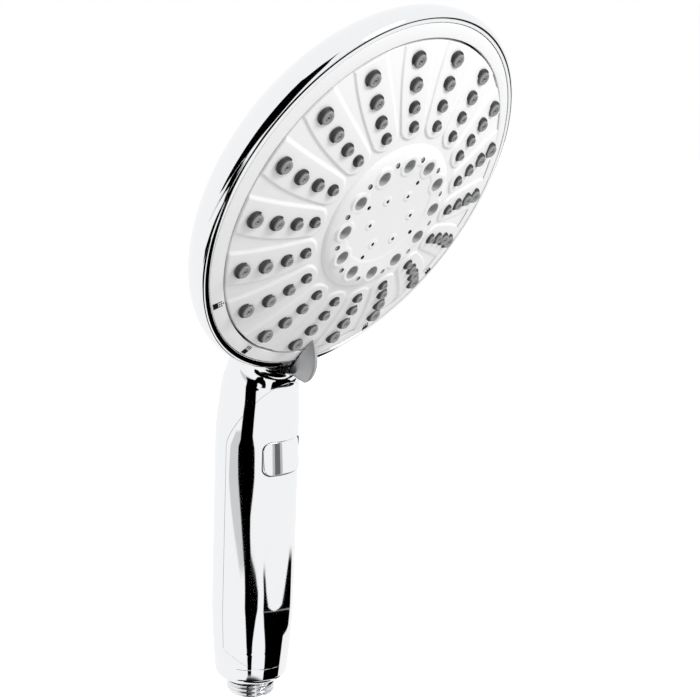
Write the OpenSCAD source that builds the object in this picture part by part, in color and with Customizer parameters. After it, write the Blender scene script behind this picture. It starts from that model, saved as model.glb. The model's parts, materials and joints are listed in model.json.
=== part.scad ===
// Handheld shower head. A domed spray face turns with its lever inside a fixed icon ring, a
// chrome back shell runs down through the neck into the handle, and a push button in the
// handle's front cover works a spool valve. The origin is the centre of the hose thread's end
// face, +Z runs up the handle and -Y is the side that sprays. Lengths are in millimetres.

/* [Head] */
// Lean of the spray face from upright, in degrees
face_tilt = 26; // [25:0.5:27]
// Distance of the face's centre in front of the handle's axis
face_forward = 57.9; // [57:0.1:59]
// Height of the face's centre above the end of the thread
face_height = 213.4; // [212:0.1:215]
// Sphere radius of the face's crown
crown_r = 202; // [195:1:215]
// Height of the crown's top above the joint's reference plane
crown_z = 8.47; // [8.3:0.01:8.6]
// Radius of the turning face plate
face_r = 68.5; // [68.3:0.1:68.6]
// Outer radius of the back shell
shell_r = 78.4; // [78:0.1:79]
// Depth of the back shell's dome
shell_depth = 28; // [27.5:0.5:30]
// Wall of the back shell
shell_wall = 2.4; // [2:0.1:2.5]

/* [Nozzles] */
// Number of nozzle rows around the face
row_count = 18; // [9, 18]
// Radius of the outermost nozzle ring
ring_r = 62.8; // [62.4:0.1:62.9]
// Tip radius of the outermost nozzles
nozzle_r = 3.1; // [2.8:0.05:3.1]
// Number of round jets, and of mist holes, on the centre disc
jet_count = 12; // [6, 12]

/* [Handle] */
// Radius of the handle at its grip
handle_r = 17.35; // [17.2:0.05:17.6]
// Height of the front cover's lowest edge
cover_bottom = 15.2; // [15:0.1:16.5]
// Height of the front cover's arched top
cover_top = 138.3; // [137:0.1:138.5]
// Height of the button's centre
button_z = 107; // [105:0.5:108]
// Width of the button
button_w = 21; // [19:0.5:21.5]
// Height of the button
button_h = 13.8; // [13:0.2:14.6]
// Travel of the button into the handle
button_travel = 3.8; // [3.6:0.1:3.8]

/* [Inlet] */
// Crest radius of the G 1/2 hose thread
thread_r = 10.4775; // [10.4775]
// Root radius of the thread
thread_root_r = 9.3155; // [9.3155]
// Distance between the thread's crests, 14 to the inch
thread_pitch = 1.8143; // [1.8143]
// Length of the exposed thread
thread_len = 6.3; // [6.1:0.1:6.3]

/* [Hidden] */

$fn = 96;
small = 24;                       // $fn of the many small holes
fit = 0.08;                       // radial gap of a running fit
gap = 0.3;                        // gap between pieces that move past each other

chrome = [0.86, 0.87, 0.89];
white = [0.95, 0.95, 0.95];
silicone = [0.45, 0.46, 0.48];
natural = [0.82, 0.83, 0.84];
seal_black = [0.12, 0.12, 0.13];
steel = [0.65, 0.66, 0.68];
brass = [0.80, 0.63, 0.30];
satin_silver = [0.72, 0.73, 0.75];

// Radius, tip radius and turn from their row in degrees, of each nozzle ring, outermost first.
ring_radii = [ring_r, ring_r - 8.7, ring_r - 16.8, ring_r - 24.1];
nozzle_radii = [nozzle_r, nozzle_r - 0.35, nozzle_r - 0.75, nozzle_r - 1.1];
ring_turns = [0, 0.6, 0.4, -1];

plate_t = 2.2;                    // wall of the face plate
mat_t = 1.2;                      // thickness of the nozzle mat
nozzle_rise = 1.9;                // height of the nozzle tips above the face plate
mat_depth = plate_t + 0.05;       // depth of the mat's front below the face
mat_in = 33;                      // inner radius of the nozzle mat
opening_r = 30;                   // opening of the face plate under the centre disc
groove = 0.5;                     // groove between the face plate and the icon ring
rim_z = -8.4;                     // plane where the trim ring meets the back shell
disc_r = 31.4;                    // foot of the centre disc
disc_z = 8.9;                     // flat top of the centre disc
jet_circle = 23.9;
jet_r = 2.9;
jet_base = 5;                     // height of the ring that joins the jets
mist_circle = 26.1;
mist_r = 1.1;
pattern_turn = 7;                 // turn of the centre disc's holes, in degrees

chamber_z = -11.6;                // back of the chamber plate
chamber_t = 2.2;
boss_top = -6;                    // top of the chamber plate's bearing boss
hub_z = chamber_z - 0.4;          // front of the distributor
hub_back = -30;
hub_r = 27;
hub_wall = 2;
post_r = 6;
post_top = boss_top + gap;
port_circle = 17.4;
port_r = 3;
detent_circle = 21;
detent_r = 1.6;
screw_circle = 31;
zone_walls = [65.6, 34.4];        // outer radii of the walls between the water chambers

tube_z = -22;                     // depth of the water tube's axis behind the face
tube_r = 7;
tube_bore = 5;
tube_bend = 20;
tube_seat = -hub_r + 4;           // where the water tube ends inside the distributor
tube_vertex = -(face_forward + tube_z * cos(face_tilt)) / sin(face_tilt);
bend_z = face_height + tube_vertex * cos(face_tilt) - tube_z * sin(face_tilt);
bend_leg = tube_bend * tan(face_tilt / 2);

handle_bottom = thread_len;
handle_wall = 2.3;
cavity_r = handle_r - handle_wall;
cavity_z = 14;                    // where the handle's cavity starts
shoulder_z = 112;                 // where the back of the handle starts to narrow
neck_z = 127;                     // where the neck starts to bend
neck_r = 16;
neck_bend = 60;                   // bend radius of the neck's axis
seam = 0.1;                       // gap of the seam round the front cover
inlet_bore = 10.95;               // bore of the handle round the inlet nipple
valve_y = 2.5;
valve_r = 11;
valve_front = -7;                 // flat front of the valve body
valve_bottom = 93;
valve_top = 121;
button_flange = valve_front - button_travel - 1.2; // back of the button's spring flange
spool_r = 4.42;
socket_r = tube_r + 0.1;

// Height at radius r of a surface that lies depth below the face's crown.
function crown(r, depth = 0) = crown_z - crown_r + sqrt(pow(crown_r - depth, 2) - r * r);

// Height at radius r of the back shell's dome, inset by wall.
function dome(r, wall = 0) = rim_z
    - (shell_depth - wall) * sqrt(max(0, 1 - pow(r / (shell_r - wall), 2)));

// Outer radius of the handle at height z, as it swells from the inlet to the grip.
function swell(z) = handle_r - 1.85 * pow(max(0, 42 - z) / 30, 1.6);

// Moves its children into the face's frame: +Z along the spray, +Y up the face.
module in_face() {
    translate([0, -face_forward, face_height])
        rotate([90 + face_tilt, 0, 0])
            children();
}

module ring(outer, inner, low, high) {
    translate([0, 0, low])
        difference() {
            cylinder(h = high - low, r = outer);
            translate([0, 0, -1])
                cylinder(h = high - low + 2, r = inner);
        }
}

module oring(mean, section) {
    rotate_extrude()
        translate([mean, 0])
            circle(r = section, $fn = small);
}

// A tube bend that starts along +Z and turns towards -Y.
module elbow(bend, r, angle) {
    translate([0, -bend, 0])
        rotate([90, 0, 90])
            rotate_extrude(angle = angle)
                translate([bend, 0])
                    circle(r = r);
}

// A coil spring from z = 0 to length, as one swept tube.
module coil(mean, wire, turns, length) {
    sides = 8;
    steps = ceil(turns * 16);
    points = [for (i = [0:steps], j = [0:sides - 1])
        let (turn = 360 * turns * i / steps,
            out = mean + wire * cos(360 * j / sides),
            up = wire + (length - 2 * wire) * i / steps + wire * sin(360 * j / sides))
        [out * cos(turn), out * sin(turn), up]];
    walls = [for (i = [0:steps - 1], j = [0:sides - 1])
        let (a = i * sides + j, b = i * sides + (j + 1) % sides)
        [a, a + sides, b + sides, b]];
    ends = [[for (j = [0:sides - 1]) j], [for (j = [sides - 1:-1:0]) steps * sides + j]];
    polyhedron(points, concat(walls, ends));
}

module at_nozzles(i) {
    for (row = [0:row_count - 1])
        rotate([0, 0, row * 360 / row_count + ring_turns[i]])
            translate([ring_radii[i], 0, 0])
                children();
}

module around(count, r, turn) {
    for (i = [0:count - 1])
        rotate([0, 0, turn + i * 360 / count])
            translate([r, 0, 0])
                children();
}

// The crown's sphere, depth below its surface, with its seam clear of the nozzle rows.
module crown_ball(depth) {
    translate([0, 0, crown_z - crown_r])
        rotate([0, 0, 180 / row_count])
            sphere(r = crown_r - depth);
}

// A slice of the crown's shell from depth low to depth high, between two radii.
module crown_shell(low, high, outer, inner) {
    intersection() {
        difference() {
            crown_ball(high);
            crown_ball(low);
        }
        ring(outer, inner, -20, 20);
    }
}

// ---- The head's fixed pieces ----

module dome_solid(wall) {
    steps = 16;
    reach = shell_r - wall;
    rotate_extrude()
        polygon(concat([[0, rim_z]],
            [for (i = [0:steps]) [reach * cos(90 * i / steps), dome(reach * cos(90 * i / steps), wall)]]));
}

module handle_profile(top, r_top) {
    steps = 7;
    rotate_extrude()
        polygon(concat(
            [[0, handle_bottom], [11.2, handle_bottom], [13.6, handle_bottom + 1.1],
                [swell(10.5) - 0.4, 10.5]],
            [for (i = [0:steps]) [swell(13 + i * 29 / steps), 13 + i * 29 / steps]],
            [[handle_r, shoulder_z], [r_top, top], [0, top]]));
}

// Front view of the cover's outline, drawn in by inset all round.
module cover_outline(inset) {
    corner = 10;
    half = handle_r + 0.5 - inset;
    arch = cover_top - inset - 118;
    base = cover_bottom + inset;
    polygon(concat(
        [for (a = [180:15:270]) [-half + corner + corner * cos(a), base + corner + corner * sin(a)]],
        [for (a = [270:15:360]) [half - corner + corner * cos(a), base + corner + corner * sin(a)]],
        [for (a = [0:10:180]) [half * cos(a), 118 + arch * sin(a)]]));
}

// The block that the cover takes up, on the front half of the handle.
module cover_space(inset, back) {
    translate([0, back, 0])
        rotate([90, 0, 0])
            linear_extrude(height = 30)
                cover_outline(inset);
}

// The neck: a bend from the handle's top, then a taper up the back of the dome.
module neck() {
    translate([0, 0, neck_z])
        elbow(neck_bend, neck_r, face_tilt);
    translate([0, -neck_bend * (1 - cos(face_tilt)), neck_z + neck_bend * sin(face_tilt)])
        rotate([face_tilt, 0, 0]) {
            sphere(r = neck_r + 0.05);
            cylinder(h = 52, r1 = neck_r, r2 = 12);
        }
}

module rear_shell() {
    color(chrome)
        difference() {
            union() {
                handle_profile(neck_z, neck_r);
                neck();
                in_face() {
                    dome_solid(0);
                }
            }
            in_face() {
                dome_solid(shell_wall);
                translate([0, 0, rim_z])
                    cylinder(h = 40, r = shell_r + 0.6);
                translate([0, 0, -6])
                    cylinder(h = 40, r = 82);
                translate([0, -95, tube_z])
                    rotate([-90, 0, 0])
                        cylinder(h = 60, r = tube_r + 2.2);
            }
            translate([0, -23.5, cover_top + 3.2])
                rotate([0, 90, 0])
                    cylinder(h = 60, r = 9, center = true);
            translate([0, 0, handle_bottom - 1])
                cylinder(h = 20, r = inlet_bore);
            translate([0, 0, cavity_z])
                cylinder(h = neck_z - cavity_z, r = cavity_r);
            cylinder(h = bend_z, r = tube_r + 3);
            difference() {
                cover_space(0, seam);
                cylinder(h = 150, r = cavity_r);
            }
        }
    color(chrome)
        in_face()
            around(4, screw_circle, 45)
                ring(4, 1.2, dome(screw_circle + 4) + 0.6, hub_back);
}

module front_cover() {
    color(chrome)
        difference() {
            intersection() {
                union() {
                    handle_profile(neck_z, handle_r);
                    ring(handle_r, cavity_r, neck_z, cover_top + 1);
                }
                cover_space(seam, -seam);
            }
            translate([0, 0, -1])
                cylinder(h = 150, r = cavity_r + seam / 2);
            button_block(button_w + 2 * gap, button_h + 2 * gap, 3 + gap, -cavity_r + 10);
        }
}

module trim_ring() {
    color(chrome)
        in_face()
            rotate_extrude()
                polygon([[74.7, rim_z], [74.7, -5], [75.3, -4.4], [77.2, -4.5], [77.9, -4.9],
                    [78.3, -5.6], [shell_r, -6.4], [shell_r, rim_z]]);
}

// Radii and heights of the icon ring's sloping front, from the groove outwards.
function icon_front() = [[face_r + groove, -3.3], [74.65, -4.5]];

module icon_ring() {
    front = icon_front();
    color(white)
        in_face()
            rotate_extrude()
                polygon([front[0], front[1], [74.65, -8.5], [75.5, -8.5], [75.5, -10], [72.6, -10],
                    [72.6, -6.6], [face_r + groove, -5.4]]);
}

// Generic spray signs, one at each of the lever's five stops.
module icon_outline(kind) {
    difference() {
        circle(r = 1.5, $fn = small);
        translate([0, -2])
            square([4, 4]);
    }
    for (i = [0:kind])
        translate([0.5, (i - kind / 2) * 0.8 - 0.15])
            square([1.2, 0.3]);
}

module icon_marks() {
    front = icon_front();
    raise = 0.12;
    color(seal_black)
        in_face()
            intersection() {
                rotate_extrude()
                    polygon([front[0], front[1], front[1] + [0, raise], front[0] + [0, raise]]);
                for (kind = [0:4])
                    rotate([0, 0, -150 + 30 * kind])
                        translate([71.9, 0, -10])
                            linear_extrude(height = 20)
                                rotate([0, 0, 180])
                                    icon_outline(kind % 3 + 1);
            }
}

module distributor() {
    color(natural)
        in_face()
            difference() {
                union() {
                    translate([0, 0, hub_back])
                        cylinder(h = hub_z - hub_back, r = hub_r);
                    around(4, screw_circle, 45)
                        translate([0, 0, hub_back])
                            cylinder(h = 3, r = 4.5);
                    translate([0, -hub_r - 8, tube_z])
                        rotate([-90, 0, 0])
                            cylinder(h = 12, r = tube_r + 1.9);
                    translate([0, 0, hub_z - 1])
                        cylinder(h = post_top - hub_z + 1, r = post_r);
                }
                difference() {
                    translate([0, 0, hub_back + hub_wall])
                        cylinder(h = hub_z - hub_back - 2 * hub_wall, r = hub_r - hub_wall);
                    translate([0, 0, hub_back])
                        cylinder(h = 20, r = post_r);
                    rotate([0, 0, 90])
                        translate([detent_circle, 0, hub_back])
                            cylinder(h = 20, r = 3.2);
                }
                translate([0, -hub_r - 9, tube_z])
                    rotate([-90, 0, 0])
                        cylinder(h = tube_seat + hub_r + 9, r = socket_r);
                translate([0, tube_seat - 1, tube_z])
                    rotate([-90, 0, 0])
                        cylinder(h = 8, r = tube_bore);
                around(3, port_circle, -90)
                    translate([0, 0, hub_z - 3])
                        cylinder(h = 5, r = port_r);
                around(3, port_circle, -90)
                    ring(port_r + 2.2, port_r + 0.5, hub_z - 1, hub_z + 1);
                around(4, screw_circle, 45)
                    translate([0, 0, hub_back - 1])
                        cylinder(h = 5, r = 1.5);
                translate([0, 0, hub_z - 8])
                    cylinder(h = 20, r = 2);
                rotate([0, 0, 90])
                    translate([detent_circle, 0, hub_z - 8])
                        cylinder(h = 10, r = detent_r + 0.3);
            }
}

module port_seals() {
    color(seal_black)
        in_face()
            around(3, port_circle, -90)
                translate([0, 0, hub_z - 0.4])
                    oring(port_r + 1.35, 0.6);
}

module distributor_screws() {
    color(steel)
        in_face()
            around(4, screw_circle, 45)
                difference() {
                    union() {
                        translate([0, 0, hub_back + 3])
                            cylinder(h = 2, r = 2.8);
                        translate([0, 0, hub_back])
                            cylinder(h = 3, r = 1.4);
                        translate([0, 0, hub_back - 1.3])
                            cylinder(h = 1.3, r = 1.15);
                    }
                    translate([-0.4, -2, hub_back + 4.2])
                        cube([0.8, 4, 2]);
                }
}

module pivot_screw() {
    color(steel)
        in_face()
            difference() {
                union() {
                    translate([0, 0, post_top + 1])
                        cylinder(h = 2.2, r = 3.8);
                    translate([0, 0, hub_z - 7.5])
                        cylinder(h = post_top + 8.5 - hub_z, r = 1.9);
                }
                for (turn = [0, 90])
                    rotate([0, 0, turn])
                        translate([-0.5, -2.4, post_top + 2.2])
                            cube([1, 4.8, 2]);
            }
}

module pivot_washer() {
    color(steel)
        in_face()
            ring(8.5, 2.1, post_top, post_top + 1);
}

module detent_ball() {
    color(steel)
        in_face()
            rotate([0, 0, 90])
                translate([detent_circle, 0, hub_z - 0.7])
                    sphere(r = detent_r);
}

module detent_spring() {
    color(steel)
        in_face()
            rotate([0, 0, 90])
                translate([detent_circle, 0, hub_z - 7.9])
                    coil(1.35, 0.25, 5, 5.5);
}

// ---- The spray face, which turns with the lever ----

module lever_slot(clear) {
    translate([-2.5 - clear, -67 - clear, -6])
        cube([5 + 2 * clear, 3 + 2 * clear, 6]);
}

module face_plate() {
    color(white)
        in_face()
            difference() {
                union() {
                    crown_shell(plate_t, 0, face_r, opening_r);
                    ring(face_r, face_r - 1.6, chamber_z + chamber_t, crown(face_r) - 1);
                }
                for (i = [0:3])
                    at_nozzles(i)
                        translate([0, 0, -20])
                            cylinder(h = 40, r = nozzle_radii[i] + 0.45, $fn = small);
                lever_slot(0.1);
            }
}

module selector_lever() {
    color(satin_silver)
        in_face() {
            rotate([90, 0, -90])
                translate([0, 0, -2.4])
                    linear_extrude(height = 4.8)
                        lever_side();
            hull()
                for (side = [-1, 1]) {
                    translate([0, -66.5, 0.3])
                        sphere(r = 1, $fn = 20);
                    translate([side * 2.6, -76.5, 2.2])
                        sphere(r = 1.6, $fn = 20);
                    translate([side * 3.4, -79.6, -0.6])
                        sphere(r = 1.5, $fn = 20);
                    translate([side * 3.8, -75.5, -1.4])
                        sphere(r = 1.3, $fn = 20);
                    translate([0, -72.5, 2.9])
                        sphere(r = 1.4, $fn = 20);
                }
            lever_slot(0);
        }
}

// Side view of the lever's rib: distance from the face's centre, then height.
module lever_side() {
    polygon([[62.4, -1.2], [65.6, 1.1], [68.8, 3.5], [72.1, 4.4], [76.6, 5], [79.8, 4.2],
        [81.1, 3.1], [80.9, -4.8], [79.2, -5.5], [79, -3.9], [75, -3.6], [69.2, -2.7],
        [68.3, crown(68.3) + 0.1], [65, crown(65) + 0.1]]);
}

module nozzle_mat() {
    color(silicone)
        in_face()
            difference() {
                union() {
                    crown_shell(mat_depth + mat_t, mat_depth, face_r - 1.8, mat_in);
                    for (i = [0:3])
                        at_nozzles(i)
                            nozzle(i);
                }
                for (i = [0:3])
                    at_nozzles(i)
                        translate([0, 0, -20])
                            cylinder(h = 40, r = 0.5, $fn = small);
                lever_slot(0.2);
            }
}

module nozzle(i) {
    base = crown(ring_radii[i], mat_depth + 0.6);
    tip = crown(ring_radii[i]) + nozzle_rise;
    translate([0, 0, base])
        cylinder(h = tip - base, r1 = nozzle_radii[i] + 0.35, r2 = nozzle_radii[i] - 0.55,
            $fn = small);
}

module centre_disc() {
    foot = crown(opening_r) + 0.06;
    skirt = opening_r - 0.1;
    color(white)
        in_face()
            difference() {
                rotate_extrude()
                    polygon([[0, disc_z - 2], [0, disc_z], [20.2, disc_z], [25.6, disc_z - 0.5],
                        [28.6, disc_z - 1.1], [30.6, disc_z - 2], [disc_r, foot + 0.3],
                        [disc_r, foot], [skirt, foot], [skirt, 2.5], [skirt - 1.5, 2.5],
                        [skirt - 1.5, disc_z - 3.2], [27.4, disc_z - 2.6]]);
                disc_holes(jet_count, jet_circle, pattern_turn, jet_r + 0.05);
                disc_holes(jet_count, mist_circle, pattern_turn + 15, mist_r + 0.05);
                disc_holes(6, 11, pattern_turn, 1.1);
                disc_holes(4, 17.2, pattern_turn + 60, 1.3);
            }
}

module disc_holes(count, circle, turn, r) {
    around(count, circle, turn)
        translate([0, 0, disc_z - 4])
            cylinder(h = 6, r = r, $fn = small);
}

module jet_nozzles() {
    color(natural)
        in_face()
            difference() {
                union() {
                    ring(27, 20.6, jet_base, jet_base + 1.2);
                    around(jet_count, jet_circle, pattern_turn)
                        translate([0, 0, jet_base])
                            cylinder(h = disc_z + 0.3 - jet_base, r = jet_r, $fn = small);
                }
                around(jet_count, jet_circle, pattern_turn)
                    cylinder(h = 20, r = jet_r - 0.8, $fn = small);
            }
}

module mist_inserts() {
    color(natural)
        in_face()
            around(jet_count, mist_circle, pattern_turn + 15)
                difference() {
                    translate([0, 0, jet_base + 1.3])
                        cylinder(h = disc_z - jet_base - 2, r = mist_r, $fn = small);
                    cylinder(h = 20, r = 0.3, $fn = small);
                }
}

module chamber_plate() {
    color(natural)
        in_face()
            difference() {
                union() {
                    translate([0, 0, chamber_z])
                        cylinder(h = chamber_t, r = face_r - 0.1);
                    translate([0, 0, chamber_z])
                        cylinder(h = boss_top - chamber_z, r = 9);
                    for (outer = zone_walls)
                        ring(outer, outer - 1.6, chamber_z + 1,
                            crown(outer, mat_depth + mat_t) - 0.05);
                    ring(opening_r - 1.9, opening_r - 3.4, chamber_z + 1, jet_base - 0.1);
                    ring(13.4, 12.2, chamber_z + 1, disc_z - 2.7);
                }
                translate([0, 0, chamber_z - 1])
                    cylinder(h = 20, r = post_r + fit);
                around(3, port_circle, -90)
                    translate([0, 0, chamber_z - 1])
                        cylinder(h = 5, r = port_r - 0.4);
                ring(detent_circle + detent_r + 0.5, detent_circle - detent_r - 0.5,
                    chamber_z - 1, chamber_z + 1.1);
            }
}

// ---- Water tube, valve and inlet ----

module water_tube_solid(r, low, high) {
    translate([0, 0, low])
        cylinder(h = bend_z - bend_leg - low, r = r);
    translate([0, 0, bend_z - bend_leg])
        elbow(tube_bend, r, face_tilt);
    for (end = [0, face_tilt])
        translate([0, -tube_bend * (1 - cos(end)), bend_z - bend_leg + tube_bend * sin(end)])
            sphere(r = r + 0.2);
    in_face()
        translate([0, tube_vertex + bend_leg, tube_z])
            rotate([-90, 0, 0])
                cylinder(h = high - tube_vertex - bend_leg, r = r);
}

module water_tube() {
    color(natural)
        difference() {
            water_tube_solid(tube_r, valve_top - 5, tube_seat);
            water_tube_solid(tube_bore, valve_top - 6, tube_seat + 1);
            translate([0, 0, valve_top - 2])
                ring(tube_r + 1, tube_r - 0.9, -0.8, 0.8);
            in_face()
                translate([0, tube_seat - 3, tube_z])
                    rotate([-90, 0, 0])
                        ring(tube_r + 1, tube_r - 0.9, -0.8, 0.8);
        }
}

module tube_orings() {
    color(seal_black) {
        translate([0, 0, valve_top - 2])
            oring(tube_r - 0.25, 0.3);
        in_face()
            translate([0, tube_seat - 3, tube_z])
                rotate([-90, 0, 0])
                    oring(tube_r - 0.25, 0.3);
    }
}

module valve_body() {
    color(natural)
        difference() {
            translate([0, valve_y, valve_bottom])
                cylinder(h = valve_top - valve_bottom, r = valve_r);
            translate([-20, valve_front - 20, valve_bottom - 1])
                cube([40, 20, 40]);
            translate([0, -20, button_z])
                rotate([-90, 0, 0])
                    cylinder(h = 50, r = spool_r + fit);
            for (low = [valve_bottom - 1, valve_top - 5])
                translate([0, 0, low])
                    cylinder(h = 6, r = low < button_z ? 6.6 : socket_r);
            translate([-4.5, -1.7, valve_bottom + 4])
                cube([9, 3.4, valve_top - valve_bottom - 8]);
        }
}

module valve_plug() {
    color(natural)
        translate([0, 11.3, button_z])
            rotate([-90, 0, 0])
                cylinder(h = 2, r = spool_r);
}

module lower_tube() {
    low = 24;
    high = valve_bottom + 5;
    color(natural)
        difference() {
            translate([0, 0, low])
                cylinder(h = high - low, r = 6.5);
            translate([0, 0, low - 1])
                cylinder(h = high - low + 2, r = 4.6);
            for (level = [low + 3, high - 2.5])
                translate([0, 0, level])
                    ring(8, 5.6, -0.8, 0.8);
        }
}

module lower_tube_orings() {
    color(seal_black)
        for (level = [27, valve_bottom + 2.5])
            translate([0, 0, level])
                oring(6.2, 0.35);
}

// A block with rounded corners, square on to the front, from the outside in to y = back.
module button_block(width, height, corner, back) {
    translate([0, back, button_z])
        rotate([90, 0, 0])
            linear_extrude(height = 30 + back) {
                square([width - 2 * corner, height], center = true);
                square([width, height - 2 * corner], center = true);
                for (x = [-1, 1], y = [-1, 1])
                    translate([x * (width / 2 - corner), y * (height / 2 - corner)])
                        circle(r = corner, $fn = small);
            }
}

module pause_button() {
    proud = handle_r + 0.7;
    color(chrome)
        difference() {
            union() {
                intersection() {
                    button_block(button_w, button_h, 3, -5);
                    ring(proud, proud - 1.8, button_z - 20, button_z + 20);
                }
                translate([0, -proud + 1, button_z])
                    rotate([-90, 0, 0])
                        cylinder(h = proud - 1 + button_flange, r = 4);
                translate([0, button_flange - 0.9, button_z])
                    rotate([-90, 0, 0])
                        cylinder(h = 0.9, r = 6.6);
            }
            translate([0, -15, button_z])
                rotate([-90, 0, 0])
                    cylinder(h = 10, r = 2);
        }
}

module valve_spool() {
    profile = [[0, -14.9], [1.95, -14.9], [1.95, -12], [2.6, -12], [2.6, -6.9], [spool_r, -6.9],
        [spool_r, -6.6], [3.3, -6.6], [3.3, -5.4], [spool_r, -5.4], [spool_r, -1.9], [2, -1.9],
        [2, 1.9], [spool_r, 1.9], [spool_r, 4.4], [3.3, 4.4], [3.3, 5.6], [spool_r, 5.6],
        [spool_r, 7.2], [0, 7.2]];
    color(brass)
        translate([0, 0, button_z])
            rotate([-90, 0, 0])
                rotate_extrude()
                    polygon(profile);
}

module spool_orings() {
    color(seal_black)
        for (along = [-6, 5])
            translate([0, along, button_z])
                rotate([-90, 0, 0])
                    oring(3.9, 0.54);
}

module valve_spring() {
    color(steel)
        translate([0, button_flange, button_z])
            rotate([-90, 0, 0])
                coil(5.4, 0.35, 3.5, valve_front - button_flange);
}

module inlet_nipple() {
    turns = floor((thread_len - 0.8) / thread_pitch);
    threads = [for (i = [0:turns])
        let (z = 0.35 + i * thread_pitch)
        each [[thread_r, z], [thread_r, z + 0.45], [thread_root_r, min(z + 1.05, thread_len)],
            [thread_root_r, min(z + 1.22, thread_len)]]];
    color(chrome)
        difference() {
            union() {
                rotate_extrude()
                    polygon(concat([[0, 0], [thread_root_r + 0.5, 0]], threads,
                        [[0, thread_len]]));
                translate([0, 0, thread_len])
                    cylinder(h = 8, r = inlet_bore - 0.1);
                ring(13, 8, cavity_z, cavity_z + 3);
                translate([0, 0, cavity_z])
                    cylinder(h = 16, r = 9);
            }
            ring(12, 9.35, 9.6, 11.4);
            translate([0, 0, -1])
                cylinder(h = 11, r = 7);
            translate([0, 0, 9])
                cylinder(h = 20, r = 4.6);
            translate([0, 0, 24])
                cylinder(h = 7, r = 6.6);
        }
}

module nipple_oring() {
    color(seal_black)
        translate([0, 0, 10.5])
            oring(10.15, 0.75);
}

module flow_regulator() {
    color(white)
        difference() {
            translate([0, 0, 5])
                cylinder(h = 4, r = 6.95);
            for (i = [0:5])
                rotate([0, 0, 60 * i])
                    translate([3.4, 0, 4])
                        cylinder(h = 6, r = 0.8, $fn = small);
            translate([0, 0, 4])
                cylinder(h = 3, r = 1.8);
        }
}

module filter_screen() {
    color(steel)
        difference() {
            translate([0, 0, 2.6])
                cylinder(h = 0.8, r = 6.95);
            for (i = [-3:3], j = [-3:3])
                if (i * i + j * j < 9.5)
                    translate([1.7 * i, 1.7 * j, 2])
                        cylinder(h = 2, r = 0.6, $fn = small);
        }
}

rear_shell();
front_cover();
trim_ring();
icon_ring();
icon_marks();
face_plate();
selector_lever();
nozzle_mat();
centre_disc();
jet_nozzles();
mist_inserts();
chamber_plate();
distributor();
port_seals();
distributor_screws();
pivot_screw();
pivot_washer();
detent_ball();
detent_spring();
water_tube();
tube_orings();
valve_body();
valve_plug();
lower_tube();
lower_tube_orings();
pause_button();
valve_spool();
spool_orings();
valve_spring();
inlet_nipple();
nipple_oring();
flow_regulator();
filter_screen();
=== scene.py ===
"""Looks of the handheld shower head: chrome housing and handle, white spray face, soft studio.

Lengths are written in millimetres and scaled by MM. The face's own frame has its origin at the
face's centre: x to the right, y up the face and z out along the spray.
"""

import json
import math

import bmesh
import bpy
import numpy as np
from mathutils import Euler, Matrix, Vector


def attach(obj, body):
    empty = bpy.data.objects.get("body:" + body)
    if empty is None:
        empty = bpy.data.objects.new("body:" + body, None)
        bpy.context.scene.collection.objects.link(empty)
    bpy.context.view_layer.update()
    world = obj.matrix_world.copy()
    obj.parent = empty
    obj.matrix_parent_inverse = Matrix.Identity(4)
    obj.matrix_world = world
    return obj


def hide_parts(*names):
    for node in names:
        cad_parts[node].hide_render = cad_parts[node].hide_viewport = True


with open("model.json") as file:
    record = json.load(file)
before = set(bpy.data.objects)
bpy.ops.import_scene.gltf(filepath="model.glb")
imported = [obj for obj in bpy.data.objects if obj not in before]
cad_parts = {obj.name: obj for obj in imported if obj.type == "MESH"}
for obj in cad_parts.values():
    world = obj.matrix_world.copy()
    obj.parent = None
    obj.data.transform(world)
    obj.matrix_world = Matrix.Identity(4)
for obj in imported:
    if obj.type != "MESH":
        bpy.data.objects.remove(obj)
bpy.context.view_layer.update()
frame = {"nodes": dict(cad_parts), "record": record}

MM = 0.001

# Driving dimensions, the same as the part's, but for FACE_R. The face plate's edge is 0.2 mm
# smaller than the part's, so that the groove round it shows.
TILT = math.radians(26)
FACE_CENTRE = np.array([0.0, -57.9, 213.4])
CROWN_R, CROWN_Z = 202.0, 8.47
FACE_R = 68.3
GROOVE = 0.85
RIM_Z = -8.4
SHELL_R, SHELL_DEPTH = 78.4, 28.0
DISC_R, DISC_Z = 31.4, 8.9
OPENING_R = 30.0
HANDLE_R = 17.35
HANDLE_BOTTOM = 6.3
COVER_BOTTOM, COVER_TOP = 15.2, 138.3
BUTTON_Z, BUTTON_W, BUTTON_H, BUTTON_CORNER = 107.0, 21.0, 13.8, 3.0
ROWS = 18
RING_RADII = (62.8, 54.1, 46.0, 38.7)
NOZZLE_RADII = (3.1, 2.75, 2.35, 2.0)
RING_TURNS = (0, 0.6, 0.4, -1)
JET_COUNT, JET_CIRCLE, JET_R = 12, 23.9, 2.9
MIST_CIRCLE, MIST_R = 26.1, 1.1
PATTERN_TURN = 7
THREAD_R, THREAD_ROOT, THREAD_PITCH = 10.4775, 9.3155, 1.8143

# The face's axes in the row's frame.
FACE_X = np.array([1.0, 0.0, 0.0])
FACE_Y = np.array([0.0, -math.sin(TILT), math.cos(TILT)])
FACE_N = np.array([0.0, -math.cos(TILT), -math.sin(TILT)])


# ---- Geometry helpers ----


def from_face(p):
    """Face frame to row frame, for an array of points."""
    p = np.asarray(p, float)
    return FACE_CENTRE + p[..., :1] * FACE_X + p[..., 1:2] * FACE_Y + p[..., 2:] * FACE_N


def to_face(p):
    """Row frame to face frame, for an array of points."""
    d = np.asarray(p, float) - FACE_CENTRE
    return np.stack([d @ FACE_X, d @ FACE_Y, d @ FACE_N], -1)


def smoothstep(a, b, x):
    """0 where x is at or before a, 1 at or past b, and smooth between them."""
    t = np.clip((x - a) / (b - a), 0, 1)
    return t * t * (3 - 2 * t)


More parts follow.
